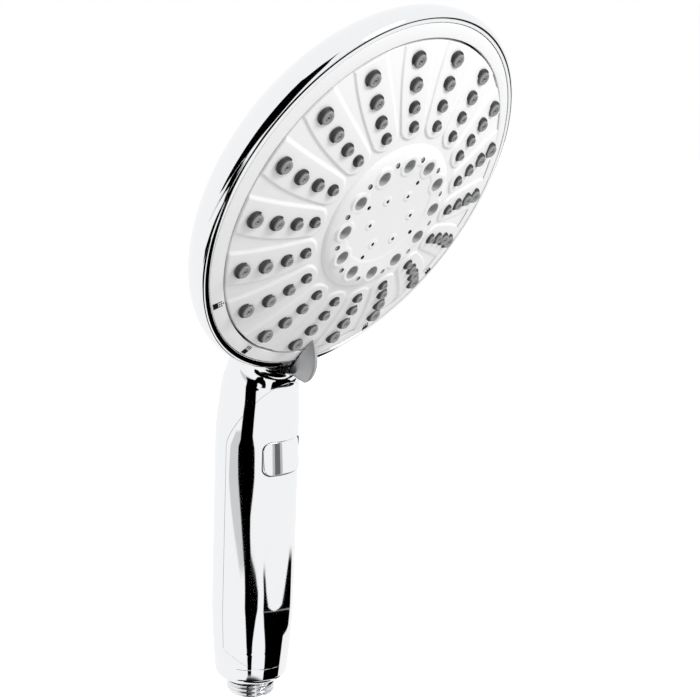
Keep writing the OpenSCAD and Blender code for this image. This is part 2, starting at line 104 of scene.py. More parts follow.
def crown(r):
    """Height of the face plate's sphere at radius r."""
    return CROWN_Z - CROWN_R + np.sqrt(CROWN_R**2 - np.asarray(r, float) ** 2)


def make_piece(name, points, faces, body, slot, replaces, normals=None):
    """A smooth-shaded mesh piece that rides on a body, from points in the row frame."""
    mesh = bpy.data.meshes.new(name)
    mesh.from_pydata([tuple(p) for p in np.asarray(points) * MM], [], faces)
    mesh.validate()
    mesh.update()
    mesh.shade_smooth()
    if normals is not None:
        mesh.normals_split_custom_set_from_vertices([tuple(n) for n in normals])
    piece = bpy.data.objects.new(name, mesh)
    bpy.context.scene.collection.objects.link(piece)
    piece.data.materials.append(MATERIALS[slot])
    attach(piece, body)
    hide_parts(*replaces)
    return piece


def grid_faces(rows, columns, closed=False, start=0, flip=False):
    """Quads between the points of a rows by columns grid."""
    faces = []
    for i in range(rows - 1):
        for j in range(columns if closed else columns - 1):
            a, b = i * columns + j, i * columns + (j + 1) % columns
            quad = (a + start, b + start, b + columns + start, a + columns + start)
            faces.append(quad[::-1] if flip else quad)
    return faces


def close_ends(faces, points, count):
    """A mesh's faces with two more, over its first and its last loop of count points."""
    return faces + [tuple(range(count))[::-1], tuple(range(points - count, points))]


def rounded(profile, radius=0.3, steps=4):
    """An outline with each inner corner turned into a small arc."""
    out = [profile[0]]
    for before, corner, after in zip(profile, profile[1:], profile[2:]):
        corner = np.array(corner, float)
        a, b = np.array(before) - corner, np.array(after) - corner
        la, lb = np.linalg.norm(a), np.linalg.norm(b)
        reach = min(radius, la * 0.45, lb * 0.45)
        start, end = corner + a / la * reach, corner + b / lb * reach
        for i in range(steps + 1):
            t = i / steps
            out.append(tuple((1 - t) ** 2 * start + 2 * t * (1 - t) * corner + t * t * end))
    out.append(profile[-1])
    return out


def lathe_points(profile, sides=128):
    """Points and faces of an (r, z) outline turned about the z axis."""
    turn = np.arange(sides) * 2 * math.pi / sides
    points = [
        (r * math.cos(a), r * math.sin(a), z) for r, z in profile for a in turn
    ]
    return np.array(points), grid_faces(len(profile), sides, closed=True)


def repeat(points, faces, places):
    """One mesh repeated at each (turn, radius, height), as a single set of points and faces."""
    all_points, all_faces = [], []
    for turn, radius, height in places:
        c, s = math.cos(turn), math.sin(turn)
        moved = points + (radius, 0, height)
        x, y = moved[:, 0] * c - moved[:, 1] * s, moved[:, 0] * s + moved[:, 1] * c
        start = len(all_points) * len(points)
        all_points.append(np.stack([x, y, moved[:, 2]], 1))
        all_faces.extend([tuple(i + start for i in f) for f in faces])
    return np.concatenate(all_points), all_faces


def fix_normals(piece):
    """Turns a closed piece's faces outward."""
    work = bmesh.new()
    work.from_mesh(piece.data)
    bmesh.ops.recalc_face_normals(work, faces=work.faces)
    work.to_mesh(piece.data)
    work.free()


def bevel(piece, width):
    """Rounds a piece's crisp edges."""
    mod = piece.modifiers.new("bevel", "BEVEL")
    mod.width = width * MM
    mod.segments = 2
    mod.limit_method = "ANGLE"
    mod.angle_limit = math.radians(40)
    mod.harden_normals = True


def solidify(piece, thickness):
    """Gives a skin a wall on its inner side."""
    mod = piece.modifiers.new("wall", "SOLIDIFY")
    mod.thickness = thickness * MM
    mod.offset = -1


# ---- Materials ----


class Nodes:
    """A material's node tree, with the few steps that every finish here uses."""

    def __init__(self, name, **sockets):
        self.material = bpy.data.materials.new(name)
        self.material.use_nodes = True
        self.tree = self.material.node_tree
        self.shader = self.tree.nodes["Principled BSDF"]
        for key, value in sockets.items():
            self.shader.inputs[key.replace("_", " ")].default_value = value

    def add(self, kind, **settings):
        node = self.tree.nodes.new(kind)
        for key, value in settings.items():
            if hasattr(node, key):
                setattr(node, key, value)
            else:
                node.inputs[key.replace("_", " ")].default_value = value
        return node

    def link(self, a, b):
        self.tree.links.new(a, b)

    def noise(self, scale, detail=3.0):
        where = self.add("ShaderNodeTexCoord")
        noise = self.add("ShaderNodeTexNoise", Scale=scale, Detail=detail)
        self.link(where.outputs["Object"], noise.inputs["Vector"])
        return noise.outputs["Fac"]

    def spread(self, value, low, high, socket):
        """Maps a 0 to 1 value onto a range of one of the shader's sockets."""
        scale = self.add("ShaderNodeMapRange", To_Min=low, To_Max=high)
        self.link(value, scale.inputs["Value"])
        self.link(scale.outputs["Result"], self.shader.inputs[socket])

    def tint(self, value, low, high):
        """Mixes two base colours by a 0 to 1 value."""
        blend = self.add("ShaderNodeMix", data_type="RGBA")
        blend.inputs[6].default_value = (*low, 1)
        blend.inputs[7].default_value = (*high, 1)
        self.link(value, blend.inputs[0])
        self.link(blend.outputs[2], self.shader.inputs["Base Color"])

    def bump(self, value, strength, distance):
        """Raises the surface by a value, distance being in millimetres."""
        bump = self.add("ShaderNodeBump", Strength=strength, Distance=distance * MM)
        self.link(value, bump.inputs["Height"])
        self.link(bump.outputs["Normal"], self.shader.inputs["Normal"])


def chrome_material():
    """Bright chrome plate, with faint wear in its polish."""
    m = Nodes("chrome_plate", Metallic=1.0, Roughness=0.03)
    m.tint(m.noise(6.0), (0.86, 0.87, 0.885), (0.9, 0.905, 0.915))
    m.spread(m.noise(90.0, 6.0), 0.015, 0.05, "Roughness")
    m.bump(m.noise(25.0, 2.0), 0.03, 0.2)
    return m.material


def satin_material():
    """The lever's grey satin finish."""
    m = Nodes("satin_silver", Metallic=1.0)
    m.tint(m.noise(30.0), (0.50, 0.505, 0.515), (0.57, 0.575, 0.585))
    m.spread(m.noise(700.0, 4.0), 0.42, 0.52, "Roughness")
    m.bump(m.noise(3000.0, 2.0), 0.05, 0.03)
    return m.material


def white_material():
    """Glossy white plastic with a fine grain."""
    m = Nodes("face_white", Coat_Weight=0.2, Coat_Roughness=0.2)
    m.tint(m.noise(40.0), (0.79, 0.79, 0.795), (0.83, 0.83, 0.83))
    m.spread(m.noise(300.0, 4.0), 0.35, 0.48, "Roughness")
    m.bump(m.noise(2500.0, 2.0), 0.06, 0.05)
    return m.material


def silicone_material():
    """Dark grey silicone with painted light and shade: the tips painted paler, as if lit from
    above, and the flanks near black, as painted shade.
    """
    m = Nodes("silicone", Coat_Weight=0.05, Coat_Roughness=0.25, Specular_IOR_Level=0.2)
    # The tip mask paints the tips paler as painted light and leaves the flanks near black as
    # painted shade. The noise adds random tone.
    tip_light_mask = m.add("ShaderNodeAttribute", attribute_name="painted_tip_light")
    tone_and_tip_light = m.add("ShaderNodeMath", operation="MULTIPLY_ADD")
    m.link(m.noise(400.0), tone_and_tip_light.inputs[0])
    tone_and_tip_light.inputs[1].default_value = 0.3
    m.link(tip_light_mask.outputs["Fac"], tone_and_tip_light.inputs[2])
    m.tint(tone_and_tip_light.outputs[0], (0.008, 0.008, 0.009), (0.28, 0.282, 0.286))
    m.spread(m.noise(500.0, 4.0), 0.32, 0.45, "Roughness")
    m.bump(m.noise(1800.0, 2.0), 0.08, 0.05)
    return m.material


def plain_material(name, low, high, roughness, metallic=0.0, specular=0.5):
    """Any simple finish between two colours, with uneven gloss and a fine grain."""
    m = Nodes(name, Metallic=metallic, Specular_IOR_Level=specular)
    m.tint(m.noise(80.0), low, high)
    m.spread(m.noise(400.0, 4.0), roughness * 0.8, roughness * 1.2, "Roughness")
    m.bump(m.noise(1500.0, 2.0), 0.05, 0.04)
    return m.material


MATERIALS = {
    "chrome_plate": chrome_material(),
    "satin_silver": satin_material(),
    "face_white": white_material(),
    "silicone": silicone_material(),
    "icon_print": plain_material(
        "icon_print", (0.004, 0.004, 0.005), (0.012, 0.012, 0.013), 0.8, specular=0.1
    ),
    # Grey of the parts inside the head. On the jet bowls its darkness is partly painted shade for
    # the insides of their deep recesses.
    "inner_plastic": plain_material(
        "inner_plastic", (0.36, 0.365, 0.37), (0.46, 0.465, 0.47), 0.3
    ),
    "seal_rubber": plain_material("seal_rubber", (0.02, 0.02, 0.022), (0.05, 0.05, 0.055), 0.5),
    "steel": plain_material("steel", (0.52, 0.53, 0.55), (0.64, 0.65, 0.67), 0.22, 1.0),
    "brass": plain_material("brass", (0.68, 0.50, 0.22), (0.78, 0.60, 0.30), 0.22, 1.0),
}


# ---- Housing: back shell, neck and handle as one smooth surface ----


# The grip narrows by TAPER over TAPER_LENGTH below TAPER_TOP, and its foot rounds in by
# FOOT_ROUND below FOOT_TOP.
TAPER_TOP, TAPER_LENGTH, TAPER = 42.0, 30.0, 1.85
FOOT_TOP, FOOT_ROUND = 10.5, 4.0


def swell(z):
    """Outer radius of the handle at height z."""
    z = np.asarray(z, float)
    grip = HANDLE_R - TAPER * (np.clip(TAPER_TOP - z, 0, None) / TAPER_LENGTH) ** 1.6
    down = np.clip((FOOT_TOP - z) / (FOOT_TOP - HANDLE_BOTTOM), 0, 1)
    return grip - FOOT_ROUND * down**2.2


# Heights, centres and radii of the neck, from the top of the straight grip up into the dome.
GRIP_TOP = 112
NECK = np.array([
    (GRIP_TOP, 0, HANDLE_R),
    (120, -0.2, 17.15),
    (127, -0.6, 16.7),
    (137, -1.4, 15.9),
    (142, -2.7, 15.5),
    (146, -4.4, 15.5),
    (150, -6.3, 15.5),
    (160, -10.8, 15.7),
    (175, -18, 15.2),
    (190, -25, 13),
    (205, -31.5, 8),
    (220, -38, -6),
])
CENTRE, RADIUS = 1, 2

# The neck's lean grows between these heights, from upright to the head's own tilt.
LEAN_FROM, LEAN_TO = 127, 157


def curve(column, z):
    """A smooth curve through one column of the neck's stations, flat below the first one."""
    t, v = NECK[:, 0], NECK[:, column]
    slope = np.gradient(v, t)
    slope[0] = 0
    i = np.clip(np.searchsorted(t, z) - 1, 0, len(t) - 2)
    h = t[i + 1] - t[i]
    u = np.clip((z - t[i]) / h, 0, 1)
    a = (1 + 2 * u) * (1 - u) ** 2 * v[i] + u * (1 - u) ** 2 * h * slope[i]
    return a + u * u * (3 - 2 * u) * v[i + 1] + u * u * (u - 1) * h * slope[i + 1]


def neck_field(p):
    """Signed distance, roughly, to the handle and neck."""
    z = p[..., 2]
    reach = np.hypot(p[..., 0], p[..., 1] - curve(CENTRE, z))
    lean = np.cos(np.clip((z - LEAN_FROM) / (LEAN_TO - LEAN_FROM), 0, 1) * TILT)
    return (reach - np.where(z < GRIP_TOP, swell(z), curve(RADIUS, z))) * lean


def dome_field(p):
    """Signed distance, roughly, to an ellipsoid about the rim, four times as long before it."""
    f = to_face(p)
    depth = f[..., 2] - RIM_Z
    depth = np.where(depth > 0, depth / 4, depth)
    ring = np.hypot(f[..., 0], f[..., 1])
    k = np.sqrt((ring / SHELL_R) ** 2 + (depth / SHELL_DEPTH) ** 2) + 1e-9
    slope = np.sqrt((ring / SHELL_R**2) ** 2 + (depth / SHELL_DEPTH**2) ** 2) / k + 1e-9
    return (k - 1) / slope


def housing_field(p, blend=7.0):
    """Signed distance, roughly, to the back shell and neck melted together."""
    a, b = neck_field(p), dome_field(p)
    h = np.clip(0.5 + 0.5 * (b - a) / blend, 0, 1)
    return b + (a - b) * h - blend * h * (1 - h)


def field_normals(p, step=0.02):
    """The field's gradient at each point, as unit vectors."""
    out = np.empty_like(p)
    for axis in range(3):
        d = np.zeros(3)
        d[axis] = step
        out[:, axis] = housing_field(p + d) - housing_field(p - d)
    return out / (np.linalg.norm(out, axis=1, keepdims=True) + 1e-12)


def field_surface(low, high, cell):
    """The field's zero surface inside a box, as one quad mesh.

    Each cell that the surface crosses gets a point, which is then moved onto the surface, and
    each grid edge that it crosses gets a quad between the four cells round it.
    """
    axes = [np.arange(low[i], high[i] + cell, cell) for i in range(3)]
    grid = np.stack(np.meshgrid(*axes, indexing="ij"), -1)
    value = housing_field(grid)
    shape = np.array(value.shape) - 1
    corners = [(i, j, k) for i in (0, 1) for j in (0, 1) for k in (0, 1)]
    inside = sum(
        (value[i:i + shape[0], j:j + shape[1], k:k + shape[2]] < 0).astype(int)
        for i, j, k in corners
    )
    used = (inside > 0) & (inside < 8)
    index = -np.ones(shape, int)
    index[used] = np.arange(used.sum())
    points = (np.argwhere(used) + 0.5) * cell + np.array(low)
    for _ in range(5):
        n = field_normals(points)
        points = points - n * housing_field(points)[:, None]
    faces = []
    for axis in range(3):
        a, b = [i for i in range(3) if i != axis]
        cut = [slice(None)] * 3
        ahead = [slice(None)] * 3
        cut[axis], ahead[axis] = slice(0, -1), slice(1, None)
        first, second = value[tuple(cut)] < 0, value[tuple(ahead)] < 0
        places = np.argwhere(first != second)
        inner = (places[:, a] > 0) & (places[:, b] > 0) & (places < shape).all(1)
        places = places[inner]
        quads = []
        for da, db in ((0, 0), (-1, 0), (-1, -1), (0, -1)):
            cells = places.copy()
            cells[:, a] += da
            cells[:, b] += db
            quads.append(index[tuple(cells.T)])
        quads = np.stack(quads, 1)
        outward = first[tuple(places.T)] == (axis != 1)
        quads = np.where(outward[:, None], quads, quads[:, ::-1])
        faces.extend(map(tuple, quads[quads.min(1) >= 0].tolist()))
    return points, faces


# How far round from the front, in degrees, the front cover's sides are where it's widest, and
# the radius of its lower corners.
COVER_SIDE = 91
COVER_CORNER = 10.0


def cover_angle(z):
    """Half the angle that the front cover spans at height z."""
    z = np.asarray(z, float)
    low = np.clip(COVER_BOTTOM + COVER_CORNER - z, 0, COVER_CORNER)
    half = HANDLE_R - COVER_CORNER + np.sqrt(COVER_CORNER**2 - low**2)
    rise = np.clip((z - GRIP_TOP) / (COVER_TOP - GRIP_TOP), 0, 1)
    half = np.where(z > GRIP_TOP, HANDLE_R * np.sqrt(np.clip(1 - rise**2.6, 0, 1)), half)
    # The corners stay round because most of the grip's taper is left out here.
    share = np.clip(half / swell(np.maximum(z, 30)), 0, 1)
    return np.arcsin(share) * COVER_SIDE / 90


# Width of the gap round the front cover, and the height where the grip's mesh meets the head's.
SEAM = 0.16
NECK_CUT = 140.0

# Height from which the dome draws the neck's surface out.
BLEND_FROM = 120


def grip_row(turn, z):
    """Points of the grip's surface at height z, turned from the front."""
    middle = np.array([0, float(curve(CENTRE, z)), z])
    out = np.stack([np.sin(turn), -np.cos(turn), np.zeros(len(turn))], 1)
    r = np.full(len(turn), float(swell(z) if z < GRIP_TOP else curve(RADIUS, z)))
    for _ in range(8 if z > BLEND_FROM else 0):
        r = r - housing_field(middle + r[:, None] * out)
    return middle + r[:, None] * out


def handle_skin():
    """The back half of the handle, and the whole of it below and above the cover, as grids.

    Rows crowd together in the foot's curl and beside the cover's corners and arch.
    """
    points, faces = [], []
    columns = 181
    gap, top = COVER_BOTTOM - SEAM, COVER_TOP + SEAM
    curl = HANDLE_BOTTOM + (FOOT_TOP - HANDLE_BOTTOM) * np.linspace(0, 1, 14) ** 1.5
    foot = np.append(curl, np.linspace(10.7, gap, 8))
    corner = gap + COVER_CORNER * np.linspace(0, 1, 16) ** 1.5
    arch = top - (top - GRIP_TOP) * (1 - np.linspace(0, 1, 40)) ** 1.8
    middle = np.concatenate([corner, np.linspace(25.5, 111, 50), arch])
    for heights in (foot, middle, np.linspace(top, NECK_CUT, 5)):
        start = len(points)
        for z in heights:
            half = cover_angle(z) + SEAM / HANDLE_R if gap < z < top else 0.0
            points.extend(grip_row(np.linspace(half, 2 * math.pi - half, columns), z))
        faces.extend(grid_faces(len(heights), columns, start=start))
    return np.array(points), faces


def slice_at(work, point, normal, clear=False):
    """Cuts a bmesh's faces along a plane, and deletes what lies behind it if clear is set."""
    geometry = work.verts[:] + work.edges[:] + work.faces[:]
    bmesh.ops.bisect_plane(
        work, geom=geometry, plane_co=point, plane_no=normal, dist=1e-4, clear_inner=clear
    )


# A box round the head and neck, and the size of the grid's cells in it.
HEAD_LOW, HEAD_HIGH, HEAD_CELL = (-81, -98, NECK_CUT - 3), (81, 20, 292), 1.2


def head_skin():
    """The dome and neck, sliced at NECK_CUT and open where the bead closes the front."""
    points, faces = field_surface(HEAD_LOW, HEAD_HIGH, HEAD_CELL)
    mesh = bpy.data.meshes.new("cutting")
    mesh.from_pydata([tuple(p) for p in points], [], faces)
    work = bmesh.new()
    work.from_mesh(mesh)
    slice_at(work, Vector(from_face(np.array([0, 0, RIM_Z]))), Vector(FACE_N))
    slice_at(work, (0, 0, NECK_CUT), (0, 0, 1), clear=True)
    front = []
    for face in work.faces:
        f = to_face(np.array(face.calc_center_median()))
        if f[2] > RIM_Z and math.hypot(f[0], f[1]) < SHELL_R + 0.6:
            front.append(face)
    bmesh.ops.delete(work, geom=front, context="FACES")
    loose = [v for v in work.verts if not v.link_faces]
    bmesh.ops.delete(work, geom=loose, context="VERTS")
    work.verts.ensure_lookup_table()
    work.verts.index_update()
    head = np.array([v.co for v in work.verts])
    head_faces = [tuple(v.index for v in f.verts) for f in work.faces]
    work.free()
    bpy.data.meshes.remove(mesh)
    return head, head_faces


def build_housing():
    """The back shell, neck and back of the handle, as one skin."""
    head, head_faces = head_skin()
    grip, grip_faces = handle_skin()
    points = np.concatenate([head, grip])
    faces = head_faces + [tuple(i + len(head) for i in f) for f in grip_faces]
    make_piece(
        "housing_skin", points, faces, "housing", "chrome_plate", ("rear_shell",),
        field_normals(points),
    )


def rounded_rectangle(width, height, corner, steps=10, side=24):
    """Outline points, anticlockwise, of a rectangle with round corners."""
    arcs = []
    for quarter, (sx, sy) in enumerate(((1, 1), (-1, 1), (-1, -1), (1, -1))):
        middle = np.array([sx * (width / 2 - corner), sy * (height / 2 - corner)])
        a = math.pi / 2 * (quarter + np.arange(steps + 1) / steps)
        arcs.append(middle + corner * np.stack([np.cos(a), np.sin(a)], 1))
    out = []
    for arc, following in zip(arcs, arcs[1:] + arcs[:1]):
        out.extend(arc)
        for i in range(1, side):
            out.append(arc[-1] + (following[0] - arc[-1]) * i / side)
    return np.array(out)


def button_outline(inset):
    """The button's outline, drawn in by inset, about its own middle."""
    return rounded_rectangle(BUTTON_W - 2 * inset, BUTTON_H - 2 * inset, BUTTON_CORNER - inset)


def button_hole(gap):
    """A closed prism that leaves a gap round the button."""
    outline = button_outline(-gap)
    count = len(outline)
    x, z = outline[:, 0], outline[:, 1] + BUTTON_Z
    loops = [np.stack([x, np.full(count, y), z], 1) for y in (-30.0, -10.0)]
    faces = close_ends(grid_faces(2, count, closed=True), 2 * count, count)
    return np.concatenate(loops), faces


def cut_with(piece, solid):
    """Cuts a closed solid out of a piece, on top of the modifiers it has so far."""
    points, faces = solid
    mesh = bpy.data.meshes.new("cutter")
    mesh.from_pydata([tuple(p) for p in points * MM], [], faces)
    cutter = bpy.data.objects.new("cutter", mesh)
    bpy.context.scene.collection.objects.link(cutter)
    fix_normals(cutter)
    mod = piece.modifiers.new("cut", "BOOLEAN")
    mod.operation = "DIFFERENCE"
    mod.object = cutter
    settle(piece)
    bpy.data.objects.remove(cutter)


def settle(piece):
    """Turns a piece's modifiers into its mesh."""
    bpy.context.view_layer.update()
    shown = piece.evaluated_get(bpy.context.evaluated_depsgraph_get())
    mesh = bpy.data.meshes.new_from_object(shown)
    piece.modifiers.clear()
    piece.data = mesh


COVER_WALL, BUTTON_GAP = 1.0, 0.35


def build_cover():
    """The front cover: one skin with an arched top and a round-cornered foot."""
    columns = 121
    rows = np.concatenate([
        COVER_BOTTOM + COVER_CORNER * np.linspace(0, 1, 18) ** 1.6,
        np.linspace(26, GRIP_TOP, 60),
        GRIP_TOP + (COVER_TOP - GRIP_TOP) * (1 - (1 - np.linspace(0.02, 1, 26)) ** 1.7),
    ])
    points = []
    for z in rows:
        half = cover_angle(z)
        points.extend(grip_row(np.linspace(-half, half, columns), z))
    faces = grid_faces(len(rows), columns)
    cover = make_piece(
        "cover_skin", points, faces, "housing", "chrome_plate", ("front_cover",)
    )
    solidify(cover, COVER_WALL)
    cut_with(cover, button_hole(BUTTON_GAP))
    bevel(cover, 0.18)


# ---- Head: bead, icon ring, face plate, nozzles, disc ----


def build_trim():
    """The chrome bead between the back shell and the icon ring."""
    front = [(74.66, -8.3), (74.66, -4.5), (74.75, -4.42), (76.4, -4.47), (77.15, -4.6)]
    outer = [(77.65, -5.15), (78.05, -5.85), (78.28, -6.5), (SHELL_R, -7.2), (SHELL_R, RIM_Z)]
    profile = rounded(front + outer, 0.25, 3)
    points, faces = lathe_points(profile[::-1], 256)
    bead = make_piece(
        "rim_bead", from_face(points), faces, "housing", "chrome_plate", ("trim_ring",)
    )
    fix_normals(bead)


# The icon ring's edges and the height of its inner edge. Its front falls by RING_DROP. The signs
# on it fall as far over RING_SPAN, a longer way than the ring's, which keeps them clear of it.
RING_IN, RING_OUT = FACE_R + GROOVE, 74.4
RING_TOP, RING_DROP, RING_SPAN = -3.3, 1.15, 5.45


def build_icon_ring():
    """The white ring whose front slopes down to the bead."""
    front = [(RING_IN, RING_TOP), (RING_OUT, RING_TOP - RING_DROP)]
    profile = [(RING_IN, -8.0), *front, (RING_OUT, -8.0)]
    points, faces = lathe_points(rounded(profile, 0.25)[::-1], 256)
    make_piece(
        "icon_annulus", from_face(points), faces, "housing", "face_white", ("icon_ring",)
    )


# The petals' inner radius, their height and the length of their rounded inner ends.
PETAL_IN, PETAL_RISE, PETAL_END = 34.0, 0.65, 4.5


def petal_height(r, turn):
    """Rise of the petals above the face plate, from 0 to 1, at radius r and angle turn.

    A petal's sides are at the angles low and high from its row of nozzles. The first is a soft
    slope and the second a crisp step.
    """
    share = (FACE_R - r) / (FACE_R - PETAL_IN)
    inner = np.clip(PETAL_IN + PETAL_END - r, 0, None) / PETAL_END
    end = np.sqrt(np.clip(1 - inner**2, 0, 1))
    low = -(7 + 3.1 * share**2) * end
    high = (5.3 + 9 * share - 6.6 * share**2) * end
    spacing = 360 / ROWS
    around = (np.degrees(turn) + spacing / 2) % spacing - spacing / 2
    span = np.radians(1) * r
    soft = smoothstep(-1.1, 0.8, (around - low) * span)
    crisp = smoothstep(-0.3, 0.4, (high - around) * span)
    return soft * crisp * (end > 0)


def build_face_plate():
    """The domed plate with its petals and its rounded edge."""
    radii = np.concatenate([[OPENING_R - 0.5], np.linspace(OPENING_R, FACE_R - 0.5, 100)])
    columns = 1620
    turn = np.arange(columns) * 2 * math.pi / columns
    r, a = np.meshgrid(radii, turn, indexing="ij")
    z = crown(r) + PETAL_RISE * petal_height(r, a)
    rows = [np.stack([r * np.cos(a), r * np.sin(a), z], -1)]
    lip = rows[0][-1]
    for grow, drop in ((0.35, 0.08), (0.47, 0.3), (0.5, 1.2), (0.5, 4.6)):
        wall = lip.copy()
        wall[:, :2] *= (radii[-1] + grow) / radii[-1]
        wall[:, 2] -= drop
        rows.append(wall[None])
    points = np.concatenate(rows)
    faces = grid_faces(len(points), columns, closed=True)
    make_piece(
        "petal_plate", from_face(points.reshape(-1, 3)), faces, "selector", "face_white",
        ("face_plate",),
    )


def build_nozzles():
    """Four rings of silicone nozzles, each with a groove and a fine outlet in its tip."""
    points, faces, painted_tip_light = [], [], []
    for radius, size, turn in zip(RING_RADII, NOZZLE_RADII, RING_TURNS):
        base = float(crown(radius))
        k = size / 3.1
        profile = [
            (size + 0.4, 0.3), (size + 0.35, 1.05), (size, 1.15), (size - 0.2, 1.0),
            (size - 0.35, 1.1), (size - 0.5, 2.2), (size - 0.8, 2.35), (1.35 * k, 2.35),
            (1.15 * k, 1.95), (0.95 * k, 2.33), (0.6 * k, 2.31), (0.5 * k, 0.5), (0.01, 0.5),
        ]
        one, one_faces = lathe_points(rounded(profile, 0.16, 3)[::-1], 40)
        places = [
            (math.radians(row * 360 / ROWS + turn), radius, base) for row in range(ROWS)
        ]
        many, many_faces = repeat(one, one_faces, places)
        start = sum(len(p) for p in points)
        points.append(many)
        faces.extend([tuple(i + start for i in f) for f in many_faces])
        # Painted light: 1 on each nozzle's tip, which the silicone paints paler as if lit, and 0
        # down its flanks, which stay dark as painted shade.
        painted_tip_light.append(np.tile(smoothstep(1.95, 2.25, one[:, 2]), ROWS))
    nozzles = make_piece(
        "spray_nozzles", from_face(np.concatenate(points)), faces, "selector", "silicone",
        ("nozzle_mat",),
    )
    layer = nozzles.data.attributes.new("painted_tip_light", "FLOAT", "POINT")
    layer.data.foreach_set("value", np.concatenate(painted_tip_light))


# The disc's two sets of small outlets: how many, their circle's radius and the holes' radius.
PIN_COUNT, PIN_CIRCLE, PIN_R = 6, 11.0, 0.75
SPARE_COUNT, SPARE_CIRCLE, SPARE_R = 4, 17.2, 0.9

# The circle that is sunk into the disc: its middle, radius and depth.
SUNK_X, SUNK_Y, SUNK_R, SUNK = -2, 3, 21, 0.22


def disc_top(x, y):
    """Height of the raised disc: a sunk middle, a sloping edge and a boss round each outlet."""
    r = np.hypot(x, y)
    slope = np.interp(r, [0, 25.0, 27.0, 29.0, 30.6, DISC_R], [0, 0, 0.35, 1.0, 1.8, 2.75])
    z = DISC_Z - 0.1 - slope
    z = z - SUNK * smoothstep(0.35, -0.35, np.hypot(x - SUNK_X, y - SUNK_Y) - SUNK_R)
    for i in range(JET_COUNT):
        a = math.radians(PATTERN_TURN + 360 * i / JET_COUNT)
        away = np.hypot(x - JET_CIRCLE * math.cos(a), y - JET_CIRCLE * math.sin(a))
        boss = smoothstep(4.7, 4.1, away)
        z = z + boss * np.maximum(DISC_Z - 0.05 - z, 0)
    for i in range(PIN_COUNT):
        a = math.radians(PATTERN_TURN + 360 * i / PIN_COUNT)
        away = np.hypot(x - PIN_CIRCLE * math.cos(a), y - PIN_CIRCLE * math.sin(a))
        z = z + SUNK * smoothstep(2.3, 1.8, away)
    return z


def disc_drills():
    """A closed drill for each of the disc's jets, mist holes and small outlets."""
    holes, hole_faces = [], []
    rings = (
        (JET_COUNT, JET_CIRCLE, PATTERN_TURN, JET_R),
        (JET_COUNT, MIST_CIRCLE, PATTERN_TURN + 15, MIST_R),
        (PIN_COUNT, PIN_CIRCLE, PATTERN_TURN, PIN_R),
        (SPARE_COUNT, SPARE_CIRCLE, PATTERN_TURN + 60, SPARE_R),
    )
    low, high, axis = DISC_Z - 6, DISC_Z + 2, 0.0001
    for count, circle, turn_from, radius in rings:
        drill = [(axis, low), (radius, low), (radius, high), (axis, high)]
        one, one_faces = lathe_points(drill, 36)
        places = [(math.radians(turn_from + 360 * i / count), circle, 0) for i in range(count)]
        many, many_faces = repeat(one, one_faces, places)
        start = sum(len(h) for h in holes)
        holes.append(many)
        hole_faces.extend([tuple(i + start for i in f) for f in many_faces])
    return from_face(np.concatenate(holes)), hole_faces


def build_disc():
    """The raised disc in the middle, drilled for its jets and mist holes."""
    columns = 480
    turn = np.arange(columns) * 2 * math.pi / columns
    radii = np.concatenate([[0.02], np.linspace(0.5, DISC_R - 0.4, 90)])
    r, a = np.meshgrid(radii, turn, indexing="ij")
    x, y = r * np.cos(a), r * np.sin(a)
    rows = list(np.stack([x, y, disc_top(x, y)], -1))
    edge = rows[-1]
    for grow, z in ((0.2, -0.15), (0.35, -0.4)):
        scale = (radii[-1] + grow) / radii[-1]
        rows.append(edge * (scale, scale, 1) + (0, 0, z))
    foot, floor = float(crown(DISC_R)) - 0.5, DISC_Z - 4
    underside = ((DISC_R, foot), (DISC_R - 1.5, foot), (DISC_R - 2, floor), (0.02, floor))
    for radius, z in underside:
        circle = [radius * np.cos(turn), radius * np.sin(turn), np.full(columns, z)]
        rows.append(np.stack(circle, 1))
    points = np.concatenate(rows)
    faces = close_ends(grid_faces(len(rows), columns, closed=True), len(points), columns)
    disc = make_piece(
        "face_disc", from_face(points), faces, "selector", "face_white", ("centre_disc",)
    )
    cut_with(disc, disc_drills())
    bevel(disc, 0.12)


def build_jets():
    """Twelve round jets, each a bowl with a small outlet at its bottom."""
    bowl = [
        (JET_R - 0.02, DISC_Z - 3.9), (JET_R - 0.02, DISC_Z - 0.1), (JET_R - 0.1, DISC_Z + 0.06),
        (JET_R - 0.3, DISC_Z), (JET_R - 0.45, DISC_Z - 1.6), (JET_R - 0.8, DISC_Z - 2.8),
        (JET_R - 1.7, DISC_Z - 3.4), (0.6, DISC_Z - 3.6), (0.5, DISC_Z - 4.2), (0.01, DISC_Z - 4.2),
    ]
    one, one_faces = lathe_points(rounded(bowl, 0.4, 3)[::-1], 44)
    places = [
        (math.radians(PATTERN_TURN + 360 * i / JET_COUNT), JET_CIRCLE, 0) for i in range(JET_COUNT)
    ]
    points, faces = repeat(one, one_faces, places)
    # The bowls take the grey inner plastic: partly their own grey, partly painted shade for the
    # dark insides of their recesses.
    make_piece(
        "jet_bowls", from_face(points), faces, "selector", "inner_plastic",
        ("jet_nozzles",),
    )


# Sections of the lever from its tip to its grip, each a radius, the sideways places of its left
# edge, crest and right edge, and the heights of its crest and foot.
LEVER = np.array([
    (62.5, -0.15, 0.0, 0.15, -1.2, -1.4),
    (64.0, -0.7, 0.0, 0.9, 0.2, -1.7),
    (66.0, -1.2, 0.05, 1.9, 1.6, -2.1),
    (68.8, -1.7, 0.1, 3.1, 3.3, -2.7),
    (72.1, -2.1, 0.1, 4.2, 4.5, -3.3),
    (76.0, -2.3, 0.1, 4.9, 5.0, -3.8),
    (79.2, -2.2, 0.1, 4.9, 4.5, -5.0),
    (80.7, -1.9, 0.1, 4.3, 3.4, -5.3),
    (81.1, -1.4, 0.1, 3.2, 2.0, -4.2),
])


